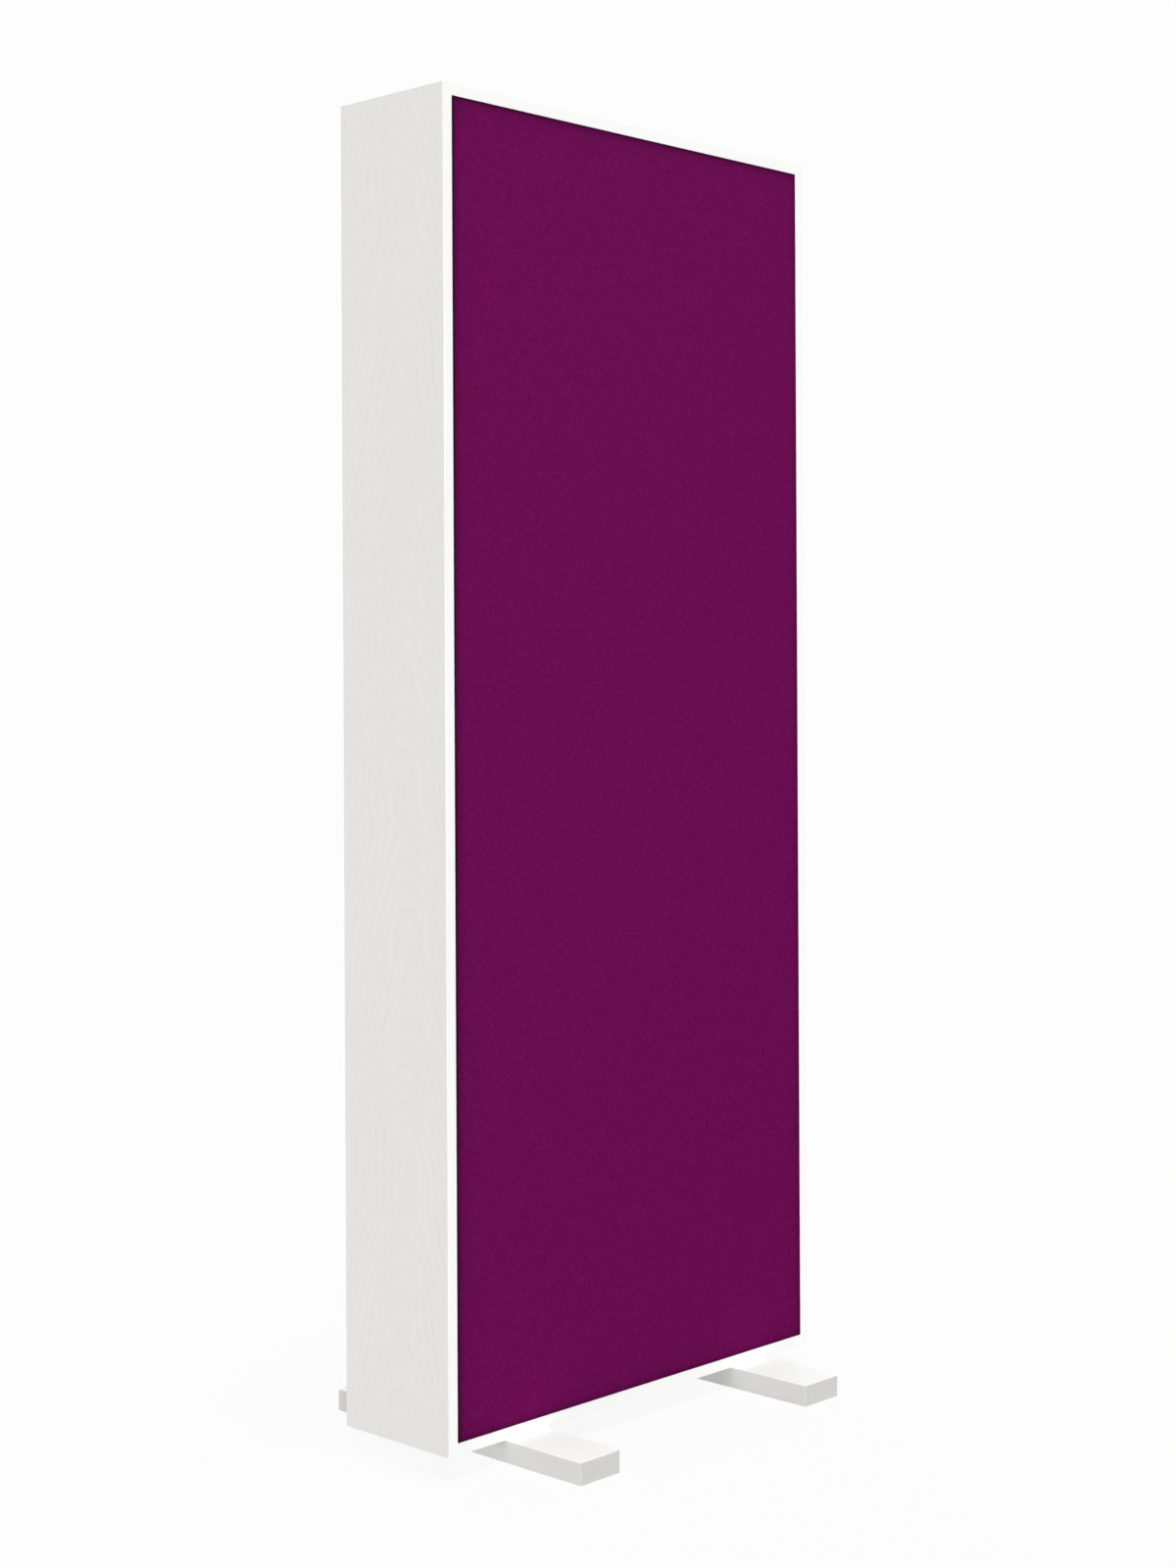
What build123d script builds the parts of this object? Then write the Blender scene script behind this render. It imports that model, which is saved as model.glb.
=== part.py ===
from build123d import *

import os

# A free-standing studio gobo. A box casing of wood-grain faced board is open at the front
# and at the back. A barrier board stands in a groove in the middle of its depth, with
# mineral wool on both sides. A cloth-covered stretcher frame closes each face, and two flat
# foot bars, bolted on from below, carry the panel.
#
# Millimetres. X runs along the width, the front face looks towards -Y and Z is up. The
# origin lies on the floor under the middle of the panel.

# Casing of faced board, with edging on the edges that show
panel_height = 1800.0
panel_width = 748.0
board_thickness = 16.0
edging_thickness = 0.5
edging_arris = 0.2

# Barrier board and its groove
barrier_thickness = 12.0
groove_depth = 4.0
barrier_top_play = 1.0

# Mineral-wool slabs, laid across the casing in rows from the bottom up
row_names = ["lower", "middle", "upper"]
slab_thickness = 75.0

# Stretcher frames of planed battens
batten_width = 50.0
batten_thickness = 19.0
round_over = 0.5

# Cloth covers, drawn over the frames and turned back behind them
cloth_thickness = 1.0
cover_gap = 0.2
face_recess = 0.2

# Staples that hold the hems
staple_crown = 10.0
staple_leg = 8.0
staple_wire_width = 1.2
staple_wire_thickness = 0.6
staple_pitch = 200.0

# Hook-and-loop pads that hold the frames to the fixing blocks
pad_size = 25.0
pad_thickness = 1.5
pad_margin = 3.5

# Loose tongues in the corners of the casing
tongue_thickness = 4.0
tongue_width = 16.0

# Foot bars, their centre lines set in from the sides of the casing
foot_length = 482.0
foot_width = 74.0
foot_height = 30.0
foot_inset = 141.0
foot_arris = 0.5

# Countersunk foot bolts, and the threaded inserts in the bottom board that take them
bolts_per_foot = 2
bolt_centres = 120.0
bolt_diameter = 8.0
bolt_head_diameter = 16.0
bolt_head_cover = 1.0
bolt_end_cover = 2.0
key_sides = 6
key_across_flats = 5.0
key_depth = 3.0
insert_diameter = 12.0
insert_length = 13.0

# Clearances: a pressed or glued fit, and a fit that only has to pass
snug_play = 0.1
easy_play = 0.5
overrun = 5.0

# Turns that stand a staple upright, and that bring the front infill to the back
quarter_turn = 90.0
half_turn = 180.0

# Heights
panel_bottom = foot_height
panel_top = panel_bottom + panel_height
inner_bottom = panel_bottom + board_thickness
inner_top = panel_top - board_thickness
inner_height = inner_top - inner_bottom
row_height = inner_height / len(row_names)

# Half widths and half depths, and the distance of the feet from the middle
half_width = panel_width / 2
inner_half_width = half_width - board_thickness
half_depth = face_recess + 2 * cloth_thickness + batten_thickness + slab_thickness + barrier_thickness / 2
core_half_depth = half_depth - edging_thickness
foot_middle = half_width - foot_inset

# Layers of the front infill, from the front inwards
cloth_front = -half_depth + face_recess
batten_front = cloth_front + cloth_thickness
batten_back = batten_front + batten_thickness
slab_front = batten_back + cloth_thickness
slab_back = slab_front + slab_thickness

# Outline of a stretcher frame and the centre lines of its battens
frame_half_width = inner_half_width - cover_gap - cloth_thickness
frame_bottom = inner_bottom + cover_gap + cloth_thickness
frame_top = inner_top - cover_gap - cloth_thickness
bottom_rail_centre = frame_bottom + batten_width / 2
top_rail_centre = frame_top - batten_width / 2
seam_heights = [inner_bottom + row * row_height for row in range(1, len(row_names))]
rail_centres = [bottom_rail_centre] + seam_heights + [top_rail_centre]

# Square hook-and-loop pads over the lap joints, clear of the hems, and the blocks behind them
hem_width = batten_width - pad_size - 2 * pad_margin
pad_inset = hem_width + pad_margin + pad_size / 2
pad_heights = [frame_bottom + pad_inset] + seam_heights + [frame_top - pad_inset]
pad_meeting = batten_back + pad_thickness
block_front = pad_meeting + pad_thickness
block_size = batten_width + cover_gap + cloth_thickness
block_heights = [inner_bottom + block_size / 2] + seam_heights + [inner_top - block_size / 2]

# Heights of the corner tongues and of the foot bolts
bottom_tongue_height = inner_bottom - board_thickness / 2
top_tongue_height = inner_top + board_thickness / 2
insert_top = panel_bottom + insert_length
bolt_top = insert_top - bolt_end_cover


def span_box(x, y, z):
    """Box that fills a (low, high) span along each axis."""
    sizes = [high - low for low, high in (x, y, z)]
    centre = [(low + high) / 2 for low, high in (x, y, z)]
    return Pos(*centre) * Box(*sizes)


def about_zero(half):
    """Span of the given half size about zero."""
    return (-half, half)


def about(middle, size):
    """Span of the given whole size about a middle."""
    return (middle - size / 2, middle + size / 2)


def to_side(hand, near, far):
    """Span between two distances from the middle, on the left (hand -1) or the right (hand 1)."""
    return tuple(sorted((hand * near, hand * far)))


def along_z(radius, low, high):
    """Cylinder along Z from low to high."""
    return Pos(0, 0, (low + high) / 2) * Cylinder(radius, high - low)


def spread(count, pitch):
    """Places at an even pitch, centred on zero."""
    return [(index - (count - 1) / 2) * pitch for index in range(count)]


def group(shapes):
    """Identical pieces that share a node, kept as separate solids."""
    return Compound([solid for shape in shapes for solid in shape.solids()])


def turned_to_back(shape):
    """The same piece of the rear infill: the front one, turned round the middle of the panel."""
    return Rot(0, 0, half_turn) * shape


# Casing


def corner_bars(end_play, face_play):
    """Bars along the four corners, by name, half in the side board and half in the other."""
    reach = tongue_width / 2 + end_play
    bars = {}
    for hand, side in ((-1, "left"), (1, "right")):
        x = to_side(hand, inner_half_width - reach, inner_half_width + reach)
        for height, level in ((bottom_tongue_height, "bottom"), (top_tongue_height, "top")):
            z = about(height, tongue_thickness + 2 * face_play)
            bars[f"{level}_{side}_tongue"] = span_box(x, about_zero(core_half_depth), z)
    return bars


def corner_tongues():
    """Loose plywood tongues that run through the depth of the boards."""
    return corner_bars(0, 0)


def tongue_slots():
    """Room that the boards leave for the tongues."""
    return list(corner_bars(easy_play, snug_play).values())


def barrier_groove():
    """Room that the grooves leave for the barrier, stopped short of the ends of the side boards."""
    reach = inner_half_width + groove_depth
    heights = (inner_bottom - groove_depth, inner_top + groove_depth)
    return span_box(about_zero(reach), about_zero(barrier_thickness / 2 + snug_play), heights)


def side_board(hand):
    """Full-height side board, up to the edging on its top end."""
    heights = (panel_bottom, panel_top - edging_thickness)
    board = span_box(to_side(hand, inner_half_width, half_width), about_zero(core_half_depth), heights)
    return board - barrier_groove() - tongue_slots()


def cross_board(low, high):
    """Top or bottom board, between the side boards."""
    board = span_box(about_zero(inner_half_width), about_zero(core_half_depth), (low, high))
    return board - barrier_groove() - tongue_slots()


def bottom_board():
    """Bottom board, bored from below for the threaded inserts."""
    bore = along_z(insert_diameter / 2 + snug_play, panel_bottom - overrun, insert_top + easy_play)
    return cross_board(panel_bottom, inner_bottom) - [place * bore for place in all_bolt_places()]


def edging(x, z, face, along):
    """Edging strip on the front (face -1) or rear (face 1) edge, its outer long edges bevelled."""
    strip = span_box(x, to_side(face, core_half_depth, half_depth), z)
    outer = strip.faces().sort_by(Axis.Y)[0 if face < 0 else -1]
    return chamfer(outer.edges().filter_by(along), edging_arris)


def side_edging(hand, face):
    """Full-height edging strip of a side board."""
    return edging(to_side(hand, inner_half_width, half_width), (panel_bottom, panel_top), face, Axis.Z)


def cross_edging(low, high, face):
    """Edging strip of the top or bottom board."""
    return edging(about_zero(inner_half_width), (low, high), face, Axis.X)


def end_edging(hand):
    """Edging on the top end of a side board, between its front and rear strips."""
    heights = (panel_top - edging_thickness, panel_top)
    strip = span_box(to_side(hand, inner_half_width, half_width), about_zero(core_half_depth), heights)
    outer = strip.edges().filter_by(Axis.Y).sort_by(Axis.Z)[-2:].sort_by(Axis.X)
    return chamfer(outer[0 if hand < 0 else -1], edging_arris)


# Barrier and mineral wool


def barrier_board():
    """Barrier that stands on the floor of its groove."""
    reach = inner_half_width + groove_depth - easy_play
    heights = (inner_bottom - groove_depth, inner_top + groove_depth - barrier_top_play)
    return span_box(about_zero(reach), about_zero(barrier_thickness / 2), heights)


def slab(row):
    """Front mineral-wool slab of a row, notched round the fixing blocks."""
    low = inner_bottom + row * row_height
    wool = span_box(about_zero(inner_half_width), (slab_front, slab_back), (low, low + row_height))
    return wool - block_bars(slab_front)


# Fixing blocks and their hook-and-loop pads


def block_bars(front):
    """Square bars against the side boards behind the lap joints, from a front plane to the barrier."""
    bars = []
    for hand in (-1, 1):
        x = to_side(hand, inner_half_width - block_size, inner_half_width)
        bars += [span_box(x, (front, slab_back), about(height, block_size)) for height in block_heights]
    return bars


def pads(front, back):
    """Square pads over the lap joints, between two planes."""
    squares = []
    for hand in (-1, 1):
        x = about(hand * (frame_half_width - pad_inset), pad_size)
        squares += [span_box(x, (front, back), about(height, pad_size)) for height in pad_heights]
    return squares


# Stretcher frame and its cloth cover


def frame_outline(grown):
    """Outline of the frame with its front edges rounded over, grown by a layer of cloth."""
    blank = span_box(
        about_zero(frame_half_width + grown),
        (batten_front - grown, batten_back),
        (frame_bottom - grown, frame_top + grown),
    )
    front = blank.faces().sort_by(Axis.Y)[0]
    return fillet(front.edges(), round_over + grown)


def stile_blank(hand, y):
    """Full-height batten at the left or right edge, over a span of the thickness."""
    x = to_side(hand, frame_half_width - batten_width, frame_half_width)
    return span_box(x, y, (frame_bottom, frame_top))


def rail_blank(height, y):
    """Full-width batten at a height, over a span of the thickness."""
    return span_box(about_zero(frame_half_width), y, about(height, batten_width))


def stile(hand):
    """Stile, its front half cut away where the rails lap over it."""
    middle = (batten_front + batten_back) / 2
    laps = [rail_blank(height, (batten_front, middle)) for height in rail_centres]
    blank = stile_blank(hand, (batten_front, batten_back)) - laps
    return (blank & frame_outline(0)) - staples()


def rail(height):
    """Rail, its rear half cut away where it laps over the stiles."""
    middle = (batten_front + batten_back) / 2
    laps = [stile_blank(hand, (middle, batten_back)) for hand in (-1, 1)]
    blank = rail_blank(height, (batten_front, batten_back)) - laps
    return (blank & frame_outline(0)) - staples()


def staple():
    """Staple bent from flat wire, its crown along X at the origin and its legs towards -Y."""
    depth = staple_leg + staple_wire_thickness
    inside = staple_crown - 2 * staple_wire_thickness
    wire = about_zero(staple_wire_width / 2)
    body = span_box(about_zero(staple_crown / 2), (-depth, 0), wire)
    return body - span_box(about_zero(inside / 2), (-depth, -staple_wire_thickness), wire)


def staples():
    """Staples along the four hems, their crowns pressed in flush with the cloth."""
    inset = hem_width / 2
    tall = int((frame_top - frame_bottom - 2 * batten_width) // staple_pitch) + 1
    wide = int((2 * frame_half_width - 2 * batten_width) // staple_pitch) + 1
    mid_height = (frame_bottom + frame_top) / 2
    level_staple = staple()
    upright_staple = Rot(0, quarter_turn, 0) * level_staple
    placed = []
    for hand in (-1, 1):
        x = hand * (frame_half_width - inset)
        heights = [mid_height + z for z in spread(tall, staple_pitch)]
        placed += [Pos(x, slab_front, height) * upright_staple for height in heights]
    for height in (frame_bottom + inset, frame_top - inset):
        placed += [Pos(x, slab_front, height) * level_staple for x in spread(wide, staple_pitch)]
    return placed


def cloth_cover():
    """Cloth over the face and sides of the frame, with its hems turned back behind it."""
    wrap = frame_outline(cloth_thickness) - frame_outline(0)
    outer_half = frame_half_width + cloth_thickness
    outer = (frame_bottom - cloth_thickness, frame_top + cloth_thickness)
    inner = (frame_bottom + hem_width, frame_top - hem_width)
    behind = (batten_back, slab_front)
    hems = span_box(about_zero(outer_half), behind, outer)
    hems -= span_box(about_zero(frame_half_width - hem_width), behind, inner)
    return (wrap + hems) - staples()


def wadding(row):
    """Polyester wadding that fills a window of the frame from the cloth to the wool."""
    x = about_zero(frame_half_width - batten_width)
    z = (rail_centres[row] + batten_width / 2, rail_centres[row + 1] - batten_width / 2)
    return span_box(x, (batten_front, slab_front), z)


# Feet and their fasteners


def bolt_places(hand):
    """Bolt axes of one foot, at the height of the floor."""
    return [Pos(hand * foot_middle, y, 0) for y in spread(bolts_per_foot, bolt_centres)]


def all_bolt_places():
    """Bolt axes of both feet."""
    return bolt_places(-1) + bolt_places(1)


def bolt_head():
    """Right-angled cone of a bolt's head, also the countersink that it fills."""
    wide = bolt_head_diameter / 2
    narrow = bolt_diameter / 2
    return Pos(0, 0, bolt_head_cover + (wide - narrow) / 2) * Cone(wide, narrow, wide - narrow)


def foot(hand):
    """Flat foot bar with bevelled edges, countersunk from below for its bolts."""
    x = about(hand * foot_middle, foot_width)
    blank = span_box(x, about_zero(foot_length / 2), (0, foot_height))
    sole = blank.faces().sort_by(Axis.Z)[0].edges()
    bar = chamfer(blank.edges() - sole, foot_arris)
    passage = along_z(bolt_diameter / 2 + easy_play, -overrun, foot_height + overrun)
    mouth = along_z(bolt_head_diameter / 2, -overrun, bolt_head_cover)
    return bar - [place * (passage + mouth + bolt_head()) for place in bolt_places(hand)]


def foot_bolt():
    """Countersunk bolt with a hexagon socket, head down, at its height above the floor."""
    shank = along_z(bolt_diameter / 2, bolt_head_cover, bolt_top)
    hexagon = RegularPolygon(key_across_flats / 2, side_count=key_sides, major_radius=False)
    key = Pos(0, 0, bolt_head_cover) * extrude(hexagon, key_depth)
    return bolt_head() + shank - key


def threaded_insert():
    """Sleeve in the underside of the bottom board, bored for the bolt."""
    sleeve = along_z(insert_diameter / 2, panel_bottom, insert_top)
    return sleeve - along_z(bolt_diameter / 2 + snug_play, 0, insert_top + overrun)


# The whole panel


def casing_parts():
    """Boards, tongues, edging and barrier, by node name."""
    parts = {
        "left_side_board": side_board(-1),
        "right_side_board": side_board(1),
        "top_board": cross_board(inner_top, panel_top),
        "bottom_board": bottom_board(),
        **corner_tongues(),
        "left_end_edging": end_edging(-1),
        "right_end_edging": end_edging(1),
        "barrier_board": barrier_board(),
    }
    for face, name in ((-1, "front"), (1, "rear")):
        parts[f"left_{name}_edging"] = side_edging(-1, face)
        parts[f"right_{name}_edging"] = side_edging(1, face)
        parts[f"top_{name}_edging"] = cross_edging(inner_top, panel_top, face)
        parts[f"bottom_{name}_edging"] = cross_edging(panel_bottom, inner_bottom, face)
    return parts


def front_infill():
    """Everything in front of the barrier, by name."""
    parts = {
        "left_stile": stile(-1),
        "right_stile": stile(1),
        "bottom_rail": rail(bottom_rail_centre),
        "top_rail": rail(top_rail_centre),
        "cloth_cover": cloth_cover(),
        "staples": group(staples()),
        "fixing_blocks": group(block_bars(block_front)),
        "loop_pads": group(pads(batten_back, pad_meeting)),
        "hook_pads": group(pads(pad_meeting, block_front)),
    }
    for name, height in zip((row_names[0], row_names[-1]), seam_heights):
        parts[f"{name}_cross_rail"] = rail(height)
    for row, name in enumerate(row_names):
        parts[f"{name}_slab"] = slab(row)
        parts[f"{name}_wadding"] = wadding(row)
    return parts


def infill_parts():
    """Front infill, and the same turned round for the rear, where left and right change places."""
    other_hand = {"left_stile": "right_stile", "right_stile": "left_stile"}
    parts = {}
    for name, shape in front_infill().items():
        parts[f"front_{name}"] = shape
        parts[f"rear_{other_hand.get(name, name)}"] = turned_to_back(shape)
    return parts


def foot_parts():
    """Feet and their fasteners, by node name."""
    return {
        "left_foot": foot(-1),
        "right_foot": foot(1),
        "foot_bolts": group([place * foot_bolt() for place in all_bolt_places()]),
        "threaded_inserts": group([place * threaded_insert() for place in all_bolt_places()]),
    }


os.makedirs("parts", exist_ok=True)
for name, shape in {**casing_parts(), **infill_parts(), **foot_parts()}.items():
    export_step(shape, f"parts/{name}.step")
    print(name, len(shape.solids()))
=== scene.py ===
# %% [markdown]
# # A studio gobo, dressed in Blender
#
# The object is a free-standing acoustic screen: a deep box of white wood-grain board on two
# flat feet, with a purple cloth stretched over each face. The frame that is loaded here holds
# every solid piece at its real size. This script only gives the pieces their surfaces, makes
# the two stretched cloths, and lights and frames the picture. It works in metres, +Z up, with
# the origin on the floor under the middle of the panel and the front face towards -Y.

# %% Load the frame
from math import cos, pi, prod, radians, sin

import bmesh
import bpy
import numpy as np
from mathutils import Matrix, Vector


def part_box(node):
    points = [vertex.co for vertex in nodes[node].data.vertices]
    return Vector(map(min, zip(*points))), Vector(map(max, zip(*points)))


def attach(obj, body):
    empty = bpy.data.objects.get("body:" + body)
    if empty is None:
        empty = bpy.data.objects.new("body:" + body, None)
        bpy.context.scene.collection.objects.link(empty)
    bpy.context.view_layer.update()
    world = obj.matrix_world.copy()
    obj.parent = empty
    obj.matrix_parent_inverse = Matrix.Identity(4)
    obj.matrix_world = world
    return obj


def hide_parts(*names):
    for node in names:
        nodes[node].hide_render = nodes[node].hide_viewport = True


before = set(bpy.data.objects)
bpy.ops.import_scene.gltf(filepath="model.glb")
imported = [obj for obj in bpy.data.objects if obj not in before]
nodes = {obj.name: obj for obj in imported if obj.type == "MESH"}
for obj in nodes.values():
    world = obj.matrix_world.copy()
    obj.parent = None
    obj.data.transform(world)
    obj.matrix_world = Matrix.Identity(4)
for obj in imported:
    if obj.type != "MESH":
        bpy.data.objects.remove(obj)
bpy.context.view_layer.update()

# %% [markdown]
# ## Sizes
#
# Nothing is measured twice. The frame says where each piece lies, so the cloths and the plies
# take their places from the boxes of the nodes. Only what the solids don't say, such as the
# crown of the cloth, is a value of its own here. Most pieces come in a front and a rear set.

# %% Places read from the frame
faces = ("front", "rear")
front_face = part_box("left_front_edging")[0].y
cover_low, cover_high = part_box("front_cloth_cover")
print("front at", round(front_face, 4), "cover", [round(side, 4) for side in cover_high - cover_low])

# %% [markdown]
# ## Camera
#
# The photograph is a two-point perspective: the upright edges stay almost parallel, so the
# camera looks level and the picture is shifted instead of tilted. Fitting the corners and the
# long edges of the panel and its feet gave the lens, the place and the heading. The picture
# also leans a quarter of a degree, which is a roll about the line of sight.

# %% Camera that matches the photograph
PICTURE_HEIGHT = 1600.0
FOCAL_PIXELS = 2479.2
HORIZON_PIXEL = 688.0
SENSOR = 36.0
CAMERA_PLACE = Vector((-2.5407, -2.4282, 1.0538))
CAMERA_HEADING = radians(46.328)
CAMERA_ROLL = radians(-0.2674)


def add_camera():
    """Camera at the photograph's place. Its axes are right, up and back, turned by the roll."""
    camera_data = bpy.data.cameras.new("camera")
    camera_data.sensor_width = SENSOR
    camera_data.lens = FOCAL_PIXELS / PICTURE_HEIGHT * SENSOR
    camera_data.shift_y = (HORIZON_PIXEL - PICTURE_HEIGHT / 2) / PICTURE_HEIGHT
    camera = bpy.data.objects.new("camera", camera_data)
    bpy.context.scene.collection.objects.link(camera)
    right = Vector((cos(CAMERA_HEADING), -sin(CAMERA_HEADING), 0))
    up = Vector((0, 0, 1))
    level = Matrix((right, up, right.cross(up))).transposed()
    roll = Matrix.Rotation(CAMERA_ROLL, 3, "Z")
    camera.matrix_world = Matrix.Translation(CAMERA_PLACE) @ (level @ roll).to_4x4()
    bpy.context.scene.camera = camera
    return camera


camera = add_camera()
bpy.context.scene.view_settings.view_transform = "Standard"
print("lens", round(camera.data.lens, 2), "mm, shift", round(camera.data.shift_y, 4))

# %% [markdown]
# ## Shader maths as Python
#
# A finish is easier to read as a formula than as a drawing of boxes. One small class wraps a
# socket, so that `1 - mask` or `rings * 0.02` adds the Math nodes by itself, and every other
# node comes from its `node` method. Only the colour, roughness and normal of a surface are fed
# by a wire. What is the same all over is written straight onto the shader.

# %% A socket that does arithmetic
class Wire:
    """A shader socket. Python's operators on it, also with a number on the left, add Math nodes."""

    def __init__(self, socket):
        self.socket = socket

    def node(self, kind, settings=None, values=None, output=0):
        """Adds a node to the same tree: its settings first, then its sockets' values or links."""
        tree = self.socket.id_data
        made = tree.nodes.new(kind)
        for name, value in (settings or {}).items():
            setattr(made, name, value)
        for name, value in (values or {}).items():
            if isinstance(value, Wire):
                tree.links.new(value.socket, made.inputs[name])
            else:
                made.inputs[name].default_value = value
        return Wire(made.outputs[output])

    def math(self, operation, *values):
        """Math node on the given values, in their order."""
        return self.node("ShaderNodeMath", {"operation": operation}, dict(enumerate(values)))

    def parts(self):
        """X, Y and Z of a vector."""
        split = self.node("ShaderNodeSeparateXYZ", None, {"Vector": self})
        return [Wire(socket) for socket in split.socket.node.outputs]

    def __add__(self, other):
        return self.math("ADD", self, other)

    def __radd__(self, other):
        return self.math("ADD", other, self)

    def __sub__(self, other):
        return self.math("SUBTRACT", self, other)

    def __rsub__(self, other):
        return self.math("SUBTRACT", other, self)

    def __mul__(self, other):
        return self.math("MULTIPLY", self, other)

    def __rmul__(self, other):
        return self.math("MULTIPLY", other, self)

    def __truediv__(self, other):
        return self.math("DIVIDE", self, other)

    def __pow__(self, other):
        return self.math("POWER", self, other)

    def __abs__(self):
        return self.math("ABSOLUTE", self)


print("wires ready")

# %% [markdown]
# ## Small building blocks for finishes
#
# Most finishes here are one of three things: noise that is stretched along a grain, cells that
# give each flake or pebble its own shade, and a bump made from the same pattern. Each helper
# takes its grain in metres, so that a value can be compared with the real material.

# %% Noise and cells
def scaled(place, sizes, shift=(0, 0, 0)):
    """Coordinates in which a pattern of unit size comes out at the given sizes in metres."""
    scale = [1 / size for size in sizes]
    return place.node("ShaderNodeMapping", None, {"Vector": place, "Location": shift, "Scale": scale})


def noise(place, sizes, shift=(0, 0, 0), detail=2.0):
    """Soft noise about 0.5, its grain stretched to the given sizes."""
    grain = scaled(place, sizes, shift)
    return grain.node("ShaderNodeTexNoise", None, {"Vector": grain, "Scale": 1.0, "Detail": detail})


def cells(place, sizes, shift=(0, 0, 0), output="Distance"):
    """Cells of the given sizes: the distance from each cell's middle, or each cell's own colour."""
    grain = scaled(place, sizes, shift)
    return grain.node("ShaderNodeTexVoronoi", None, {"Vector": grain, "Scale": 1.0}, output)


print("noise and cells ready")

# %% Masks, mixing and bump
def eased(value, low, high):
    """Smooth step from 0 at low to 1 at high, level beyond both. Low may be the larger of the two."""
    settings = {"interpolation_type": "SMOOTHSTEP"}
    values = {"Value": value, "From Min": low, "From Max": high}
    return value.node("ShaderNodeMapRange", settings, values)


def blended(mask, low, high):
    """The low colour where the mask is 0 and the high colour where it is 1."""
    settings = {"data_type": "RGBA"}
    low, high = (colour if isinstance(colour, Wire) else (*colour, 1.0) for colour in (low, high))
    return mask.node("ShaderNodeMix", settings, {0: mask, 6: low, 7: high}, 2)


def shaded(colour, factor):
    """A colour made darker or lighter all over."""
    return tuple(channel * factor for channel in colour)


def bump(height, depth):
    """Normals of a relief that is depth metres deep where the height goes from 0 to 1."""
    return height.node("ShaderNodeBump", None, {"Height": height, "Distance": depth})


print("masks, mixing and bump ready")

# %% A finish, and the nodes that wear it
def new_finish(name, recipe, **constants):
    """Material whose recipe gets the Object coordinates and gives what varies over the surface.

    The constants are written straight onto the shader's sockets, a space for each underscore.
    """
    material = bpy.data.materials.new(name)
    material.use_nodes = True
    tree = material.node_tree
    tree.nodes.clear()
    place = Wire(tree.nodes.new("ShaderNodeTexCoord").outputs["Object"])
    values = {key.replace("_", " "): value for key, value in constants.items()}
    surface = place.node("ShaderNodeBsdfPrincipled", None, {**values, **recipe(place)})
    output = tree.nodes.new("ShaderNodeOutputMaterial")
    tree.links.new(surface.socket, output.inputs["Surface"])
    return material


def dress(names, material):
    """Gives CAD nodes a material in the slots that they already have."""
    for name in names:
        for slot in nodes[name].material_slots:
            slot.material = material
    print(material.name, "on", len(names), "nodes")


print("finishes ready")

# %% [markdown]
# ## Studio light
#
# The photograph has a white ground and flat light: the left side and the front are lit alike,
# and even the part of a foot that lies under the panel is as bright as the rest of it. So the
# main light comes in low, from the camera's side. A wide one from above lights the tops, one
# from behind the back, and two weak ones from the left and the right keep the ends from going
# dark in other views. A faint world softens them all. What the camera sees of the world and the
# floor is a plain near-white of its own, so the ground is white without more light on the
# object. The floor keeps a share of its real shading, which is the faint shadow round the feet.

# %% Strengths of the light
SKY_LIGHT = 0.14
GROUND_WHITE = 0.982

# For each lamp, the light that it gives to faces towards its X, Y and Z sides, in shares of
# plain white, and how wide it looks in degrees
SUNS = {
    "top": ((0.0, -0.10, 0.75), 30),
    "front": ((-0.62, -0.662, 0.18), 14),
    "left": ((-0.18, 0.0, 0.018), 8),
    "back": ((0.33, 0.66, 0.15), 14),
    "right": ((0.36, 0.0, 0.03), 8),
}
light_from_above = SKY_LIGHT + sum(strengths[2] for strengths, _ in SUNS.values())
print("a white face that looks up gets", round(light_from_above, 3))

# %% World
def seen_directly(tree):
    """1 for rays from the camera, and for those that a mirror or a glass sends on."""
    rays = tree.nodes.new("ShaderNodeLightPath").outputs
    seen = Wire(rays["Is Camera Ray"])
    for name in ("Is Glossy Ray", "Is Transmission Ray"):
        seen = seen.math("MAXIMUM", seen, Wire(rays[name]))
    return seen


def white_world():
    """World of one even colour, with its own plain white where it is looked at."""
    world = bpy.data.worlds.new("studio")
    world.use_nodes = True
    tree = world.node_tree
    tree.nodes.clear()
    seen = seen_directly(tree)
    light = seen.node("ShaderNodeBackground", None, {"Strength": SKY_LIGHT})
    ground = seen.node("ShaderNodeBackground", None, {"Strength": GROUND_WHITE})
    for background in (light, ground):
        background.socket.node.inputs["Color"].default_value = (1, 1, 1, 1)
    mixed = seen.node("ShaderNodeMixShader", None, {0: seen, 1: light, 2: ground})
    output = tree.nodes.new("ShaderNodeOutputWorld")
    tree.links.new(mixed.socket, output.inputs["Surface"])
    bpy.context.scene.world = world
    return world


world = white_world()
print(world.name, "world gives", SKY_LIGHT, "and is seen as", GROUND_WHITE)

# %% Finish of the floor
FLOOR_ALBEDO = 0.30
SHADOW_SHARE = 0.15


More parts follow.
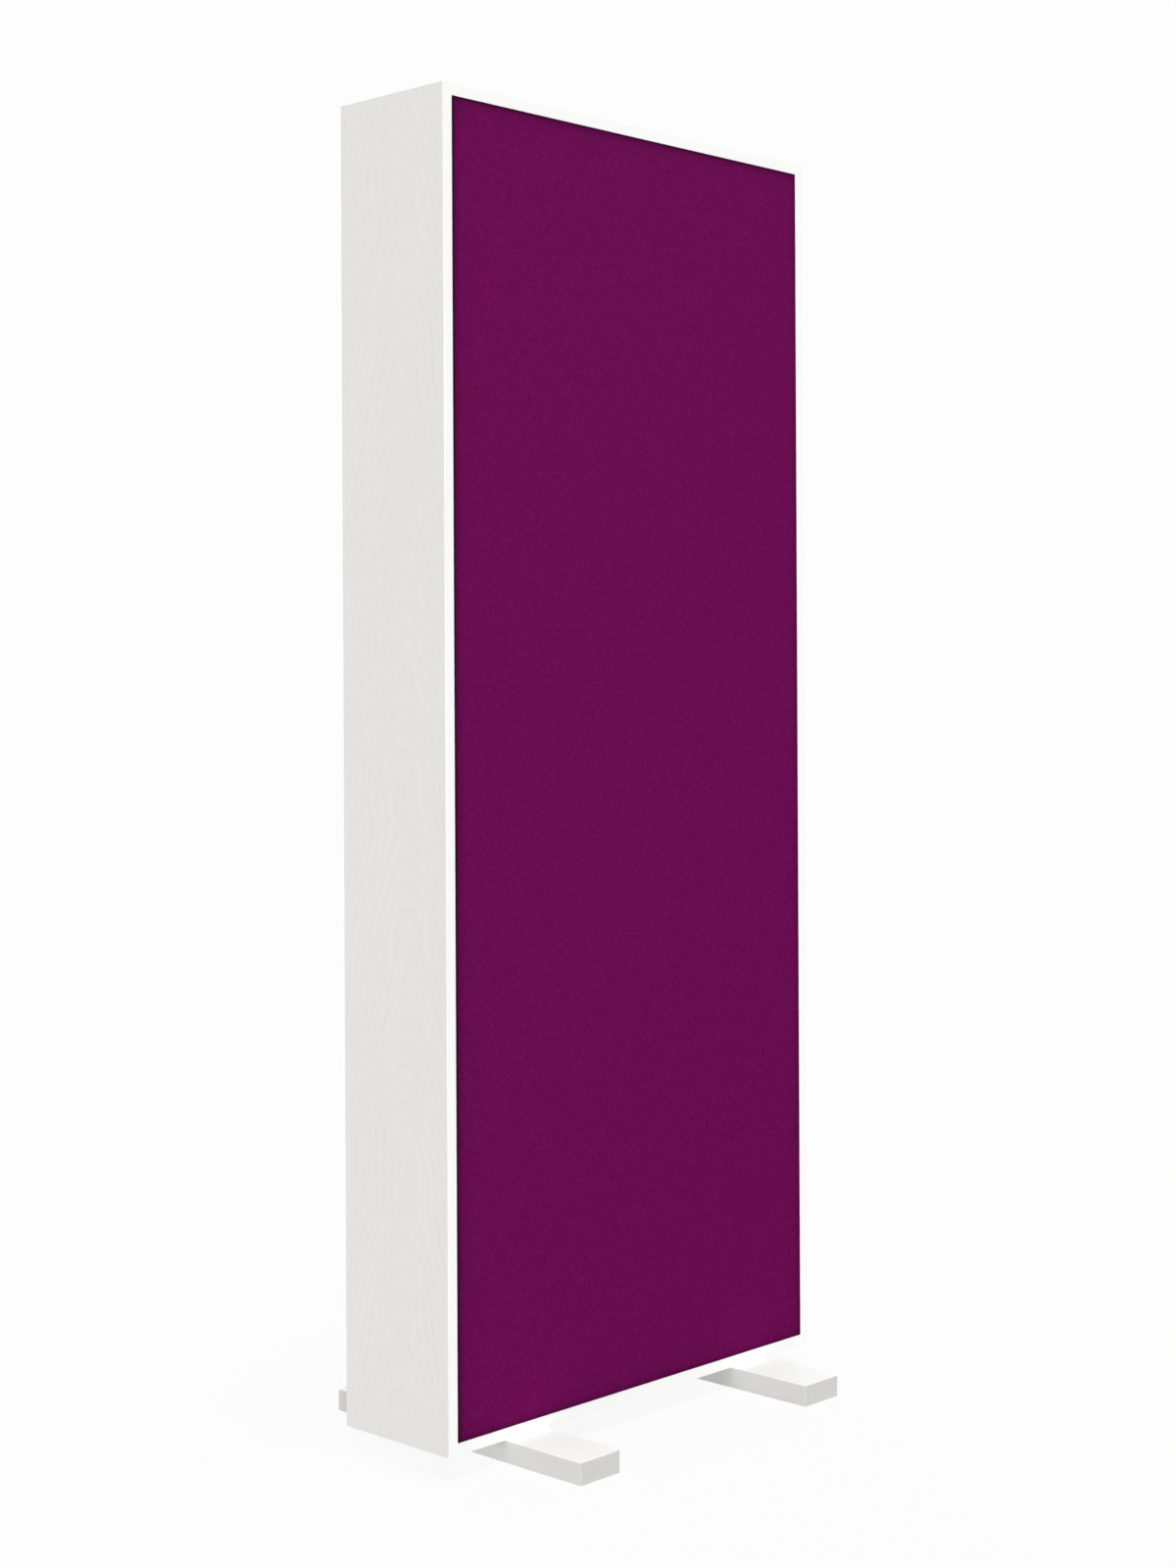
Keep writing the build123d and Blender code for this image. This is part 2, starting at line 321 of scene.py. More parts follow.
def floor_finish():
    """Matt floor: a dull grey to the object, but seen as plain white with a share of its shading.

    Open floor is seen at (1 - share) x plain white + share x lit grey. The plain white is set so
    that this comes out at the ground's level.
    """
    material = bpy.data.materials.new("floor")
    material.use_nodes = True
    tree = material.node_tree
    tree.nodes.clear()
    seen = seen_directly(tree)
    matt = seen.node("ShaderNodeBsdfDiffuse", None, {"Color": (FLOOR_ALBEDO,) * 3 + (1,)})
    lit = FLOOR_ALBEDO * light_from_above
    plain_level = (GROUND_WHITE - SHADOW_SHARE * lit) / (1 - SHADOW_SHARE)
    plain = seen.node("ShaderNodeEmission", None, {"Strength": plain_level})
    plain.socket.node.inputs["Color"].default_value = (1, 1, 1, 1)
    shown = seen.node("ShaderNodeMixShader", None, {0: SHADOW_SHARE, 1: plain, 2: matt})
    mixed = seen.node("ShaderNodeMixShader", None, {0: seen, 1: matt, 2: shown})
    output = tree.nodes.new("ShaderNodeOutputMaterial")
    tree.links.new(mixed.socket, output.inputs["Surface"])
    return material


print("the floor reflects", FLOOR_ALBEDO, "and shows", SHADOW_SHARE, "of its shading")

# %% Floor
FLOOR_HALF = 30.0
FLOOR_DROP = 0.0002


def add_floor():
    """Square floor just under the soles of the feet."""
    square = ((-1, -1), (1, -1), (1, 1), (-1, 1))
    corners = [(x * FLOOR_HALF, y * FLOOR_HALF, -FLOOR_DROP) for x, y in square]
    mesh = bpy.data.meshes.new("floor")
    mesh.from_pydata(corners, [], [(0, 1, 2, 3)])
    floor = bpy.data.objects.new("floor", mesh)
    bpy.context.scene.collection.objects.link(floor)
    mesh.materials.append(floor_finish())
    return floor


floor = add_floor()
print(floor.name, 2 * FLOOR_HALF, "m wide")

# %% Lamps
def add_sun(name, strengths, spread):
    """Sun whose light on faces towards its X, Y and Z sides is given, in shares of plain white."""
    towards = Vector(strengths)
    light = bpy.data.lights.new(name, "SUN")
    light.energy = towards.length * pi
    light.angle = radians(spread)
    lamp = bpy.data.objects.new(name, light)
    lamp.rotation_euler = towards.to_track_quat("Z", "Y").to_euler()
    bpy.context.scene.collection.objects.link(lamp)
    return lamp


lamps = [add_sun(name, strengths, spread) for name, (strengths, spread) in SUNS.items()]
print("lamps:", [(lamp.name, round(lamp.data.energy, 2)) for lamp in lamps])

# %% [markdown]
# ## Wood-grain foil
#
# The boards are faced with a white foil that is printed and embossed like a flat-sawn plank. A
# log is a stack of slightly tapered cones. Where a plank cuts them, each growth ring shows as a
# tall arch, and far from the middle as a nearly straight line. So the figure needs no drawing:
# the distance from the heart of the log, plus a small taper along the plank, is divided by the
# width of a ring, and the fraction that is left is the place within a ring.

# %% Growth rings of a flat-sawn plank
RING_WIDTH = 0.0115
LOG_TAPER = 0.25
HEART_DEPTH = 0.045
HEART_WANDER = 0.12
RING_SWELL = 0.085
RING_WOBBLE = 0.014


def growth_rings(across, along, roll):
    """Place within a growth ring, 0 to 1, and the ring's own strength, on a plank.

    The phase is (distance from the heart + taper along the log + slow unevenness) / width of a
    ring. Its fraction is the place within the ring, and its whole part seeds a strength, as no
    two years are alike.
    """
    plane = across.node("ShaderNodeCombineXYZ", None, {"X": across, "Y": along, "Z": roll})
    wander = noise(plane, (5.0, 0.42, 1.0), detail=1.0) - 0.5
    swell = noise(plane, (0.9, 0.26, 1.0), shift=(6, 2, 0), detail=1.0) - 0.5
    wobble = noise(plane, (0.035, 0.11, 1.0), shift=(3, 7, 0)) - 0.5
    beside = across + wander * HEART_WANDER
    distance = (beside * beside + HEART_DEPTH**2) ** 0.5
    phase = (distance + along * LOG_TAPER + swell * RING_SWELL + wobble * RING_WOBBLE) / RING_WIDTH
    settings = {"noise_dimensions": "1D"}
    year = phase.math("FLOOR", phase)
    strength = phase.node("ShaderNodeTexWhiteNoise", settings, {"W": year})
    return phase.math("FRACT", phase), strength, plane


print("a ring every", RING_WIDTH * 1000, "mm from the heart")

# %% Print and emboss of the foil
FOIL_WHITE = (0.698, 0.692, 0.665)
FOIL_LIGHTEST = 1.019
FOIL_DARKEST = 0.955
FOIL_RELIEF = 0.00003


def plank_recipe(heart, along_axis, across_axis, roll):
    """Foil recipe for a plank with its heart line at a place across it, and the way it runs.

    Each finish has a roll number of its own, which picks another stretch of the endless pattern.
    The first two sizes of each noise are its grain across and along the plank, in metres.
    """

    def recipe(place):
        axes = dict(zip("XYZ", place.parts()))
        across = axes[across_axis] - heart
        ring, strength, plane = growth_rings(across, axes[along_axis], roll)
        dashes = eased(noise(plane, (0.0015, 0.016, 1.0), shift=(4, 6, 0)), 0.38, 0.60)
        line = eased(ring, 0.45, 0.9) * (1 - eased(ring, 0.93, 1.0))
        late_wood = line * (0.35 + strength * 0.65) * dashes
        fibres = noise(plane, (0.0011, 0.085, 1.0), shift=(1, 2, 0))
        pores = eased(noise(plane, (0.0007, 0.022, 1.0), shift=(9, 4, 0)), 0.60, 0.72)
        cloudy = noise(plane, (0.05, 0.3, 1.0), shift=(5, 1, 0)) - 0.5
        tone = 0.32 + late_wood * 0.85 + (fibres - 0.5) * 0.26 + pores * 0.12 + cloudy * 0.45
        relief = (1 - pores) - late_wood * 0.25
        light, dark = shaded(FOIL_WHITE, FOIL_LIGHTEST), shaded(FOIL_WHITE, FOIL_DARKEST)
        return {
            "Base Color": blended(tone, light, dark),
            "Roughness": 0.42 + pores * 0.18 + (fibres - 0.5) * 0.12,
            "Normal": bump(relief, FOIL_RELIEF),
        }

    return recipe


print("foil tones from", FOIL_LIGHTEST, "down to", FOIL_DARKEST, "of", FOIL_WHITE)

# %% Foil on the casing boards
planks = [
    ("left_side", ["left_side_board"], plank_recipe(-0.024, "Z", "Y", 0.0)),
    ("right_side", ["right_side_board"], plank_recipe(0.022, "Z", "Y", 4.0)),
    ("cross_boards", ["top_board", "bottom_board"], plank_recipe(0.012, "X", "Y", 8.0)),
]
for plank, boards, recipe in planks:
    dress(boards, new_finish(f"foil_{plank}", recipe, Specular_IOR_Level=0.35))

# %% [markdown]
# ## Edging
#
# The front and rear edges carry a thin plastic strip, whiter than the foil and smooth, with
# the faint lengthwise draw marks of the roll that it came from and a very fine peel. The top
# ends of the side boards, which the photograph doesn't show, match the foil beside them.

# %% Plastic edging
EDGING_WHITE = (0.929, 0.929, 0.917)
EDGING_LIGHTEST = 1.008
EDGING_DARKEST = 0.992
DRAW_MARK_LENGTH = 0.9
DRAW_MARK_WIDTH = 0.0022
PEEL_GRAIN = 0.0009
PEEL_RELIEF = 0.00001


def edging_recipe(along_axis, white):
    """Recipe of a drawn plastic strip of a given white: long soft streaks and a fine peel."""

    def recipe(place):
        sizes = [DRAW_MARK_LENGTH if axis == along_axis else DRAW_MARK_WIDTH for axis in "XYZ"]
        streaks = noise(place, sizes, shift=(2, 5, 1))
        peel = noise(place, (PEEL_GRAIN,) * 3, detail=1.0)
        light, dark = shaded(white, EDGING_LIGHTEST), shaded(white, EDGING_DARKEST)
        return {
            "Base Color": blended(streaks, light, dark),
            "Roughness": 0.52 + streaks * 0.10 + peel * 0.05,
            "Normal": bump(peel, PEEL_RELIEF),
        }

    return recipe


edgings = [
    ("Z", [f"{side}_{face}_edging" for side in ("left", "right") for face in faces], EDGING_WHITE),
    ("X", [f"{side}_{face}_edging" for side in ("top", "bottom") for face in faces], EDGING_WHITE),
    ("Y", ["left_end_edging", "right_end_edging"], FOIL_WHITE),
]
for run, strips, white in edgings:
    recipe = edging_recipe(run, white)
    dress(strips, new_finish(f"edging_along_{run}", recipe, Specular_IOR_Level=0.3))

# %% [markdown]
# ## Feet
#
# The feet are bars of board, banded round their four edges with the greyer foil. Their top is
# painted in a whiter, slightly green copy of that foil, which stands in for the stronger light on
# the top and cancels the purple light that the cloth bounces onto it. The band's grain runs along
# the bar on its sides, and upright on each end, as the photograph shows. One material does all
# three by the way that the face looks.

# %% Foil on the feet
BAND_GREY = (0.617, 0.612, 0.587)
BAND_LIGHTEST = 1.014
BAND_DARKEST = 0.976
# Painted light: the top's whiter copy of the foil stands in for the stronger light on it, and its green
# cancels the purple bounce from the cloth
PAINTED_LIT_TOP_WHITE = (0.889, 0.920, 0.886)
LIT_TOP_LIGHTEST = 1.010
LIT_TOP_DARKEST = 0.985
FOOT_RELIEF = 0.00003


def foot_recipe(place):
    """Straight grain along Y, upright grain on the two ends of the bar, and a painted lit white on the
    upper face.
    """
    _, facing_end, facing_up = place.node("ShaderNodeTexCoord", None, None, "Normal").parts()
    on_end = eased(abs(facing_end), 0.6, 0.8)
    long_lines = noise(place, (0.0050, 0.60, 0.0050), shift=(4, 0, 2))
    long_fibres = noise(place, (0.0010, 0.07, 0.0010), shift=(1, 3, 7))
    end_lines = noise(place, (0.0036, 1.0, 0.25), shift=(6, 0, 1))
    end_fibres = noise(place, (0.0009, 1.0, 0.03), shift=(8, 0, 3))
    lines = long_lines * (1 - on_end) + end_lines * on_end
    fibres = long_fibres * (1 - on_end) + end_fibres * on_end
    tone = 0.5 + (lines - 0.5) * 1.3 + (fibres - 0.5) * 0.7
    band = blended(tone, shaded(BAND_GREY, BAND_LIGHTEST), shaded(BAND_GREY, BAND_DARKEST))
    # face is the painted lit copy of the foil, for the top
    face = blended(tone, shaded(PAINTED_LIT_TOP_WHITE, LIT_TOP_LIGHTEST), shaded(PAINTED_LIT_TOP_WHITE, LIT_TOP_DARKEST))
    return {
        # Upward faces take the painted lit white instead of the band
        "Base Color": blended(eased(facing_up, 0.6, 0.8), band, face),
        "Roughness": 0.54 + (fibres - 0.5) * 0.16,
        "Normal": bump(fibres, FOOT_RELIEF),
    }


dress(["left_foot", "right_foot"], new_finish("foil_feet", foot_recipe, Specular_IOR_Level=0.2))

# %% [markdown]
# ## Stretched cloth
#
# The cover is one rectangle of cloth, laid over the stretcher frame and drawn round its edges
# to the back. It could be a simulation, but a cloth that is drawn tight over a board has no
# folds, so its shape is known: flat with a very slight crown, a soft quarter round at the edge,
# the side wall, a tight bend and the turned-back hem. The flat cloth is a grid. Every point
# keeps its place inside the flat area, and what is left over runs down one profile. At the
# corners all of it fans round one point, and behind the frame the hems meet in a mitre.

# %% Profile of the wrap, from the edge of the flat area to the end of the hem
CLOTH_THICKNESS = 0.0010
ARRIS = 0.0012
BACK_BEND = 0.0013
HEM_WIDTH = 0.018
ARRIS_STEPS = 6
WALL_STEPS = 4
BEND_STEPS = 4
HEM_STEPS = 4

# The flat area lies this far in front of the casing's edging, before its crown
FACE_PROUD = 0.0004
cover_face = front_face - FACE_PROUD
cover_depth = cover_high.y - cover_face


def quarter_round(radius, steps):
    """Angles through a quarter round, with the length of cloth used up to each: angle x radius."""
    angles = np.linspace(0, pi / 2, steps + 1)[1:]
    return angles, angles * radius


def wrap_profile():
    """Cloth length, outward offset and depth at each step: arris, side wall, back bend and hem.

    On the arris the offset is radius x sin(angle) and the depth radius x (1 - cos(angle)). The
    wall runs straight back, the bend turns inwards as a quarter round, and the hem lies level.
    """
    arris, arris_length = quarter_round(ARRIS, ARRIS_STEPS)
    wall = np.linspace(ARRIS, cover_depth - BACK_BEND, WALL_STEPS + 1)[1:]
    bend, bend_length = quarter_round(BACK_BEND, BEND_STEPS)
    hem = np.linspace(0, HEM_WIDTH - BACK_BEND, HEM_STEPS + 1)[1:]
    length = np.concatenate([[0], arris_length, arris_length[-1] + wall - ARRIS])
    out = np.concatenate([[0], ARRIS * np.sin(arris), np.full(len(wall), ARRIS)])
    depth = np.concatenate([[0], ARRIS * (1 - np.cos(arris)), wall])
    length = np.concatenate([length, length[-1] + bend_length, length[-1] + bend_length[-1] + hem])
    out = np.concatenate([out, ARRIS - BACK_BEND * (1 - np.cos(bend)), ARRIS - BACK_BEND - hem])
    depth = np.concatenate([depth, wall[-1] + BACK_BEND * np.sin(bend), np.full(len(hem), cover_depth)])
    return length, out, depth


wrap_length, wrap_out, wrap_depth = wrap_profile()
print("cloth beyond the flat area:", round(wrap_length[-1] * 1000, 1), "mm")

# %% [markdown]
# The crown comes from the wadding behind the cloth, so it is fullest in the three windows of
# the frame and a little lower over the two cross rails. Slow wavers of a sixth of a millimetre
# at most, made from a few sines, keep the shadow line at the edge from looking ruled.

# %% The flat area of the cover, and where the cross rails lie behind it
CROWN = 0.0008
CROWN_WAVER_SHARE = 0.1
WINDOW_SWELL = 0.00012
EDGE_WAVER = 0.00015
flat_half_width = (cover_high.x - cover_low.x) / 2 - ARRIS
flat_half_height = (cover_high.z - cover_low.z) / 2 - ARRIS
cover_middle = (cover_high.z + cover_low.z) / 2
rail_boxes = [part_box(f"front_{row}_cross_rail") for row in ("lower", "upper")]
rail_heights = [(low.z + high.z) / 2 for low, high in rail_boxes]
rail_half = (rail_boxes[0][1].z - rail_boxes[0][0].z) / 2
print("cross rails at", [round(height, 4) for height in rail_heights])

# %% Grid lines and slow wavers
GRID_ACROSS = 88
GRID_UP = 216

# Turns of the wavers in radians per metre, across and up
WAVERS = ((9.1, 0.0), (0.0, 7.3), (21.7, 5.3), (-3.1, 17.9))


def grid_line(half, count):
    """Even steps over the flat part, with the steps of the profile beyond both ends."""
    inside = np.linspace(-half, half, count + 1)
    return np.concatenate([-half - wrap_length[:0:-1], inside, half + wrap_length[1:]])


def slow_waver(across, up, seed):
    """Mean of slow sines of (across x turn + up x turn + phase), the phases drawn from a seed."""
    phases = np.random.default_rng(seed).uniform(0, 2 * pi, len(WAVERS))
    waves = [
        np.sin(across * turn_across + up * turn_up + phase)
        for (turn_across, turn_up), phase in zip(WAVERS, phases)
    ]
    return sum(waves) / len(WAVERS)


print("grid of", GRID_ACROSS, "by", GRID_UP, "steps over the flat area")

# %% The cover as a surface of two parameters
def cover_surface(seed):
    """Points of the cover and their places on the flat cloth.

    A point (a, b) of the flat cloth keeps its nearest place q in the flat area. The larger of the
    two distances beyond that area is the length along the profile, which gives an outward offset
    and a depth. The point lies at q plus the offset in the direction of (a, b) from q. Where the
    hem runs back past q, both coordinates are held inside the mitred inner rectangle instead.
    The crown is (1 - u^4) x (1 - v^4), with u and v from -1 to 1 over the flat area, and dips by
    e^-(distance / half the rail)^4 over each cross rail.
    """
    across = grid_line(flat_half_width, GRID_ACROSS)
    up = grid_line(flat_half_height, GRID_UP)
    a, b = np.meshgrid(across, up, indexing="ij")
    near_a = np.clip(a, -flat_half_width, flat_half_width)
    near_b = np.clip(b, -flat_half_height, flat_half_height)
    beyond = np.maximum(abs(a - near_a), abs(b - near_b))
    out = np.interp(beyond, wrap_length, wrap_out)
    depth = np.interp(beyond, wrap_length, wrap_depth)
    reach = np.maximum(np.hypot(a - near_a, b - near_b), 1e-12)
    waver = slow_waver(a, b, seed)
    fan = np.maximum(out, 0) + EDGE_WAVER * waver * np.clip(depth / ARRIS, 0, 1) * (out > 0)
    x = near_a + fan * (a - near_a) / reach
    z = near_b + fan * (b - near_b) / reach
    on_hem = out < 0
    x = np.where(on_hem, np.clip(a, -flat_half_width - out, flat_half_width + out), x)
    z = np.where(on_hem, np.clip(b, -flat_half_height - out, flat_half_height + out), z)
    fullness = (1 - (near_a / flat_half_width) ** 4) * (1 - (near_b / flat_half_height) ** 4)
    from_rails = [(b + cover_middle - height) / rail_half for height in rail_heights]
    over_rail = sum(np.exp(-(share**4)) for share in from_rails)
    crown = CROWN * fullness * (1 + CROWN_WAVER_SHARE * waver) - WINDOW_SWELL * over_rail * fullness
    y = cover_face + depth - crown
    return np.stack([x, y, z + cover_middle], axis=-1), np.stack([a, b], axis=-1)


print("crown", round(CROWN * 1000, 2), "mm, wavers of the outline", round(EDGE_WAVER * 1000, 2), "mm")

# %% From a grid of points to a closed mesh
MERGE_WITHIN = 1e-6


def grid_quads(rows, columns):
    """Corner numbers of the quads of a grid, wound so that they face -Y on a grid over X and Z."""
    corner = np.arange(rows * columns).reshape(rows, columns)
    quads = (corner[:-1, :-1], corner[1:, :-1], corner[1:, 1:], corner[:-1, 1:])
    return np.stack(quads, axis=-1).reshape(-1, 4)


def merge_doubles(mesh):
    """Joins the points that the mitres bring together, which also closes the corners."""
    work = bmesh.new()
    work.from_mesh(mesh)
    bmesh.ops.remove_doubles(work, verts=work.verts, dist=MERGE_WITHIN)
    work.to_mesh(mesh)
    work.free()


print("a grid of 3 by 5 points has", len(grid_quads(3, 5)), "quads")

# %% Make the two covers
WEAVE_SPAN = 2.0


def make_cover(face, half_turns, seed):
    """One cover: the front surface, turned round the middle of the panel for the rear one.

    Its UV map shrinks a square of cloth, WEAVE_SPAN metres wide and centred on the cover, to 0..1.
    """
    points, flat = cover_surface(seed)
    rows, columns = points.shape[:2]
    quads = grid_quads(rows, columns)
    points = points.reshape(-1, 3) * (cos(half_turns * pi), cos(half_turns * pi), 1)
    mesh = bpy.data.meshes.new(f"{face}_cover")
    mesh.from_pydata(points.tolist(), [], quads.tolist())
    weave = mesh.uv_layers.new(name="weave")
    places = flat.reshape(-1, 2)[quads.ravel()] / WEAVE_SPAN + 0.5
    weave.data.foreach_set("uv", places.astype(np.float32).ravel())
    merge_doubles(mesh)
    mesh.shade_smooth()
    cover = bpy.data.objects.new(f"{face}_cover", mesh)
    bpy.context.scene.collection.objects.link(cover)
    thickness = cover.modifiers.new("thickness", "SOLIDIFY")
    thickness.thickness = CLOTH_THICKNESS
    thickness.offset = -1
    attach(cover, "root")
    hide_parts(f"{face}_cloth_cover")
    return cover


covers = [make_cover("front", half_turns=0, seed=5), make_cover("rear", half_turns=1, seed=11)]

# %% [markdown]
# ## Crepe weave
#
# Seen close, the cloth is a wool-like crepe: short floats of yarn that run both ways without a
# repeat, which gives a pebbly surface. Two fields of cells make it, one stretched along the
# warp and one along the weft, and the higher of the two shows. Each float has its own shade of
# the dye, the gaps between them are darker, and a slow mottle runs over the whole piece. The
# pattern follows the flat cloth through its own UV map, so it turns round the edge with it.
# Towards the rim, where the cloth turns into the casing, shade is painted into its colour. It is
# deepest at the left and top rims, as if the light came from the upper left.

# %% Painted shade along the rim
# Painted shade: the cloth's colour darkens towards each rim, standing in for the shadow where it turns
# into the casing. The left and top rims are shaded most, as if lit from the upper left
PAINTED_RIM_SHADE = (0.006, 0.0002, 0.004)
RIM_SHADE_REACH = 0.0026
RIM_SHADE_SLOPE_DEPTH = 0.38
RIM_SHADE_SLOPE_REACH = 0.009
RIM_SHADE_DEPTHS = {"left": 1.0, "right": 0.75, "bottom": 0.65, "top": 1.0}
rim_across = flat_half_width + ARRIS * pi / 4
rim_along = flat_half_height + ARRIS * pi / 4


def unshaded_share(from_rim, depth):
    """Share clear of the painted rim shade: a sharp dark band at the rim and a wider, weaker fall-off,
    both fading as e^-x.
    """
    inside = from_rim.math("MAXIMUM", from_rim, 0.0)
    sharp_rim_shade = inside.math("EXPONENT", inside / -RIM_SHADE_REACH)
    wide_rim_shade = inside.math("EXPONENT", inside / -RIM_SHADE_SLOPE_REACH)
    return (1 - sharp_rim_shade * depth) * (1 - wide_rim_shade * (depth * RIM_SHADE_SLOPE_DEPTH))


def unshaded_cloth(across, along):
    """Product of the clear shares over the four rims, each with its own depth of painted shade."""
    middle = WEAVE_SPAN / 2
    from_rims = {
        "left": across - (middle - rim_across),
        "right": middle + rim_across - across,
        "bottom": along - (middle - rim_along),
        "top": middle + rim_along - along,
    }
    return prod(unshaded_share(from_rim, RIM_SHADE_DEPTHS[side]) for side, from_rim in from_rims.items())


print("rim", round(rim_across, 4), "m and", round(rim_along, 4), "m from the middle")

# %% Floats of yarn
CLOTH_DEEP = (0.085, 0.0003, 0.0463)
CLOTH_LIGHT = (0.1640, 0.0056, 0.0975)
FLOAT_LENGTH = 0.0024
FLOAT_WIDTH = 0.0013
FLOAT_RELIEF = 0.00018
WEFT_SHIFT = (31, 17, 0)
# Painted light: the cloth is made lighter towards the top and darker towards the right, as the light
# falls across its face
PAINTED_LIGHT_UP = 0.10
PAINTED_SHADE_SIDEWAYS = 0.12


def crepe_recipe(place):
    """Floats of yarn both ways, each in its own shade, with dark gaps, a slow mottle, a painted light
    gradient and painted shade at the rim.
    """
    weave = place.node("ShaderNodeUVMap", {"uv_map": "weave"})
    enlarge = {0: weave, "Scale": WEAVE_SPAN}
    weave = weave.node("ShaderNodeVectorMath", {"operation": "SCALE"}, enlarge)
    across, along, _ = weave.parts()
    unshaded = unshaded_cloth(across, along)
    bend = noise(weave, (0.004, 0.004, 1.0), detail=1.0) - 0.5
    warp_sizes = (FLOAT_WIDTH, FLOAT_LENGTH, 1.0)
    weft_sizes = (FLOAT_LENGTH, FLOAT_WIDTH, 1.0)
    warp = 1 - cells(weave, warp_sizes)
    weft = 1 - cells(weave, weft_sizes, shift=WEFT_SHIFT)
    chosen = eased(warp - weft + bend * 0.3, -0.08, 0.08)
    height = weft + (warp - weft) * chosen
    warp_shade = cells(weave, warp_sizes, output="Color").parts()[0]
    weft_shade = cells(weave, weft_sizes, shift=WEFT_SHIFT, output="Color").parts()[0]
    own_shade = weft_shade + (warp_shade - weft_shade) * chosen
    mottle = noise(weave, (0.09, 0.12, 1.0), shift=(3, 9, 0)) - 0.5
    # Painted light gradient: lighter upwards and darker to the right
    painted_light_gradient = (along - WEAVE_SPAN / 2) * PAINTED_LIGHT_UP - (across - WEAVE_SPAN / 2) * PAINTED_SHADE_SIDEWAYS
    tone = height * 0.40 + own_shade * 0.66 - 0.02 + mottle * 0.03 + painted_light_gradient
    return {
        # The woven colour is blended towards the painted rim shade near each rim
        "Base Color": blended(unshaded, PAINTED_RIM_SHADE, blended(tone, CLOTH_DEEP, CLOTH_LIGHT)),
        "Normal": bump(height, FLOAT_RELIEF),
    }


print("floats of", round(FLOAT_LENGTH * 1000, 1), "by", round(FLOAT_WIDTH * 1000, 1), "mm")

# %% Crepe on both covers
cloth_finish = new_finish(
    "crepe_cloth",
    crepe_recipe,
    Roughness=0.95,
    Specular_IOR_Level=0.03,
    Diffuse_Roughness=0.2,
    Sheen_Weight=0.02,
    Sheen_Roughness=0.6,
    Sheen_Tint=(0.55, 0.03, 0.34, 1.0),
)
for cover in covers:
    cover.data.materials.append(cloth_finish)
print("cloth on", [cover.name for cover in covers])

# %% [markdown]
# ## Timber inside
#
# The stretcher frames, the fixing blocks and the corner tongues never show on a finished panel,
# but they are real pieces and get their real surfaces. Softwood has the growth rings of the
# foil again, closer together, warmer and with sharper late wood. The tongues are plywood, so
# their edges show three plies.

# %% Softwood battens and blocks
PINE_EARLY = (0.70, 0.50, 0.30)
PINE_LATE = (0.46, 0.27, 0.13)
PINE_RELIEF = 0.00008
RINGS_CLOSER = 1.6
HEART_OFF_MIDDLE = 0.011


def pine_recipe(along_axis, across_axis, roll):
    """Planed softwood: growth rings with sharp late wood, fine fibres and small resin streaks."""

    def recipe(place):
        axes = dict(zip("XYZ", place.parts()))
        across = axes[across_axis] * RINGS_CLOSER + HEART_OFF_MIDDLE
        ring, _, plane = growth_rings(across, axes[along_axis], roll)
        late_wood = eased(ring, 0.45, 0.92) * (1 - eased(ring, 0.95, 1.0))
        fibres = noise(place, [0.06 if axis == along_axis else 0.0008 for axis in "XYZ"])
        resin = eased(noise(plane, (0.002, 0.05, 1.0), shift=(2, 8, 0)), 0.68, 0.76)
        tone = late_wood * 0.65 + (fibres - 0.5) * 0.5 + resin * 0.3
        return {
            "Base Color": blended(tone, PINE_EARLY, PINE_LATE),
            "Roughness": 0.62 - late_wood * 0.12,
            "Normal": bump(fibres - late_wood * 0.4, PINE_RELIEF),
        }

    return recipe


levels = ("bottom", "lower_cross", "upper_cross", "top")
uprights = [f"{face}_{side}_stile" for face in faces for side in ("left", "right")]
rails = [f"{face}_{level}_rail" for face in faces for level in levels]
blocks = [f"{face}_fixing_blocks" for face in faces]
dress(uprights + blocks, new_finish("pine_upright", pine_recipe("Z", "X", 2.0)))
dress(rails, new_finish("pine_level", pine_recipe("X", "Z", 6.0)))

# %% Plywood tongues
PLY_LIGHT = (0.62, 0.45, 0.28)
PLY_DARK = (0.40, 0.26, 0.15)
PLY_COUNT = 3
PLY_RELIEF = 0.00008


def plywood_recipe(low, high):
    """Three plies across the thickness of a tongue, the middle one with its grain end on."""

    def recipe(place):
        layer = (place.parts()[2] - low) * (PLY_COUNT / (high - low))
        end_grain = eased(abs(layer - PLY_COUNT / 2), 0.54, 0.46)
        fibres = noise(place, (0.0009, 0.04, 0.0004))
        cut_ends = noise(place, (0.0006, 0.0006, 0.0004), shift=(5, 5, 5))
        tone = fibres * 0.5 + end_grain * (0.35 + cut_ends * 0.4)
        return {
            "Base Color": blended(tone, PLY_LIGHT, PLY_DARK),
            "Roughness": 0.6 + end_grain * 0.15,
            "Normal": bump(fibres - end_grain * cut_ends, PLY_RELIEF),
        }

    return recipe


for level in ("bottom", "top"):
    low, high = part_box(f"{level}_left_tongue")
    tongues = [f"{level}_{side}_tongue" for side in ("left", "right")]
    dress(tongues, new_finish(f"plywood_{level}", plywood_recipe(low.z, high.z)))

# %% [markdown]
# ## Barrier, mineral wool and wadding
#
# The barrier is raw chipboard: flakes of many shades pressed flat. Mineral wool is a mat of
# fine fibres that lie mostly in the plane of the slab, so its noise is stretched across and
# thin through the depth. The wadding is the same idea, white and looser.

# %% Chipboard barrier
CHIP_LIGHT = (0.62, 0.46, 0.28)
CHIP_DARK = (0.30, 0.19, 0.10)
CHIP_SIZES = (0.0035, 0.0009, 0.0045)
CHIP_RELIEF = 0.00012


